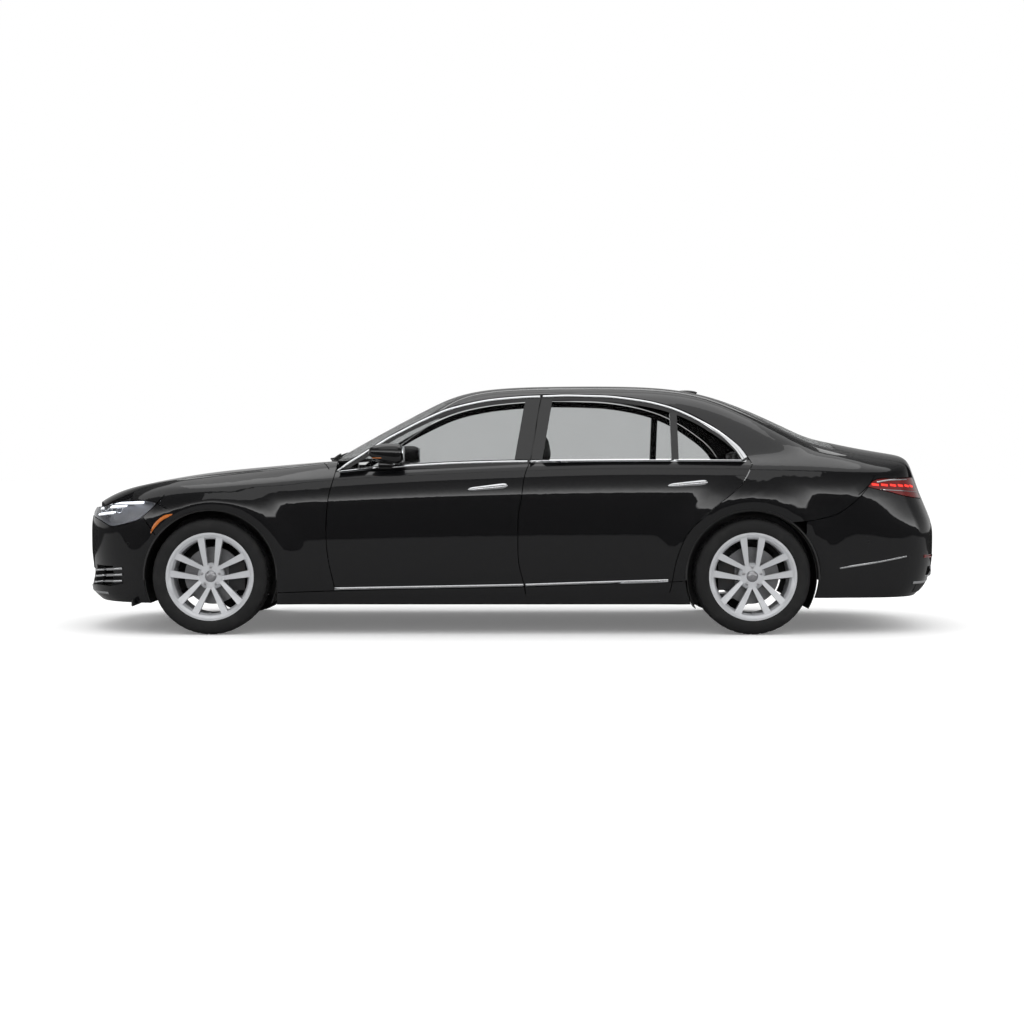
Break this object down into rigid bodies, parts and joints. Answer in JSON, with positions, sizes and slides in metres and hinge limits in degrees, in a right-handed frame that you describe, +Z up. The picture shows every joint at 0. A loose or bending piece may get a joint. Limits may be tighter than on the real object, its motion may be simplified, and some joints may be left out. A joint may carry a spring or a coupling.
{
  "type": "luxury sedan car",
  "caption": "Long full-size black sedan with opening doors, hood and trunk lid, steered front wheels and rolling wheels.",
  "frame": {"origin": "on the ground below the middle of the car's length, on its centre plane", "axes": "+X towards the rear, +Y towards the car's right side, +Z up"},
  "size_m": [5.2859, 2.096, 1.5032],
  "materials": {
    "paint": "gloss",
    "glass": "clear",
    "gloss_black": "gloss",
    "chrome": "polished",
    "lamp": "clear",
    "tail_lamp": "clear",
    "rubber": "matte",
    "alloy": "satin",
    "iron": "machined",
    "underbody": "matte",
    "trim": "satin",
    "leather": "satin"
  },
  "bodies": {
    "body": {"side_frame_left": "paint", "side_frame_right": "paint", "front_fenders": "paint", "roof_panel": "paint", "windshield": "glass", "rear_window": "glass", "cowl_panel": "gloss_black", "front_bumper": "paint", "rear_bumper": "paint", "grille": "chrome", "headlights": "lamp", "taillights": "tail_lamp", "floor_pan": "underbody", "wheel_arch_liners": "underbody", "front_subframe": "iron", "rear_axle": "iron", "engine_block": "iron", "dashboard": "trim", "front_seats": "leather", "rear_bench": "leather"},
    "hood": {"hood": "paint"},
    "trunk_lid": {"trunk_lid": "paint"},
    "steering_wheel": {"steering_wheel": "trim"},
    "front_door_left": {"front_door_left": "paint", "front_door_glass_left": "glass", "mirror_left": "gloss_black"},
    "rear_door_left": {"rear_door_left": "paint", "rear_door_glass_left": "glass"},
    "front_knuckle_left": {"front_knuckle_left": "iron"},
    "front_wheel_left": {"front_tyre_left": "rubber", "front_rim_left": "alloy", "front_brake_disc_left": "iron"},
    "rear_wheel_left": {"rear_tyre_left": "rubber", "rear_rim_left": "alloy", "rear_brake_disc_left": "iron"},
    "front_door_right": {"front_door_right": "paint", "front_door_glass_right": "glass", "mirror_right": "gloss_black"},
    "rear_door_right": {"rear_door_right": "paint", "rear_door_glass_right": "glass"},
    "front_knuckle_right": {"front_knuckle_right": "iron"},
    "front_wheel_right": {"front_tyre_right": "rubber", "front_rim_right": "alloy", "front_brake_disc_right": "iron"},
    "rear_wheel_right": {"rear_tyre_right": "rubber", "rear_rim_right": "alloy", "rear_brake_disc_right": "iron"}
  },
  "joints": [
    {"name": "front_door_left_hinge", "type": "hinge", "parent": "body", "child": "front_door_left", "pos_m": [-1.0345, -0.9585, 0.55], "axis": [0, 0, -1], "range_deg": [0, 68]},
    {"name": "rear_door_left_hinge", "type": "hinge", "parent": "body", "child": "rear_door_left", "pos_m": [0.1005, -0.9745, 0.55], "axis": [0, 0, -1], "range_deg": [0, 68]},
    {"name": "front_left_steer", "type": "hinge", "parent": "body", "child": "front_knuckle_left", "pos_m": [-1.7845, -0.752, 0.345], "axis": [0, 0, 1], "range_deg": [-35, 35]},
    {"name": "front_left_spin", "type": "hinge", "parent": "front_knuckle_left", "child": "front_wheel_left", "pos_m": [-1.7845, -0.828, 0.345], "axis": [0, 1, 0], "continuous": true},
    {"name": "rear_left_spin", "type": "hinge", "parent": "body", "child": "rear_wheel_left", "pos_m": [1.4315, -0.834, 0.345], "axis": [0, 1, 0], "continuous": true},
    {"name": "front_door_right_hinge", "type": "hinge", "parent": "body", "child": "front_door_right", "pos_m": [-1.0345, 0.9585, 0.55], "axis": [0, 0, 1], "range_deg": [0, 68]},
    {"name": "rear_door_right_hinge", "type": "hinge", "parent": "body", "child": "rear_door_right", "pos_m": [0.1005, 0.9745, 0.55], "axis": [0, 0, 1], "range_deg": [0, 68]},
    {"name": "front_right_steer", "type": "hinge", "parent": "body", "child": "front_knuckle_right", "pos_m": [-1.7845, 0.752, 0.345], "axis": [0, 0, 1], "range_deg": [-35, 35]},
    {"name": "front_right_spin", "type": "hinge", "parent": "front_knuckle_right", "child": "front_wheel_right", "pos_m": [-1.7845, 0.828, 0.345], "axis": [0, 1, 0], "continuous": true},
    {"name": "rear_right_spin", "type": "hinge", "parent": "body", "child": "rear_wheel_right", "pos_m": [1.4315, 0.834, 0.345], "axis": [0, 1, 0], "continuous": true},
    {"name": "hood_hinge", "type": "hinge", "parent": "body", "child": "hood", "pos_m": [-1.03, 0, 0.99], "axis": [0, 1, 0], "range_deg": [0, 48]},
    {"name": "trunk_lid_hinge", "type": "hinge", "parent": "body", "child": "trunk_lid", "pos_m": [2, 0, 1.136], "axis": [0, -1, 0], "range_deg": [0, 78]},
    {"name": "steering_wheel_turn", "type": "hinge", "parent": "body", "child": "steering_wheel", "pos_m": [-0.655, -0.372, 0.905], "axis": [0.9135, 0, 0.4067], "range_deg": [-490, 490]}
  ],
  "couplings": [
    {"joint": "front_right_steer", "follows": "front_left_steer", "ratio": 1},
    {"joint": "steering_wheel_turn", "follows": "front_left_steer", "ratio": 14}
  ]
}
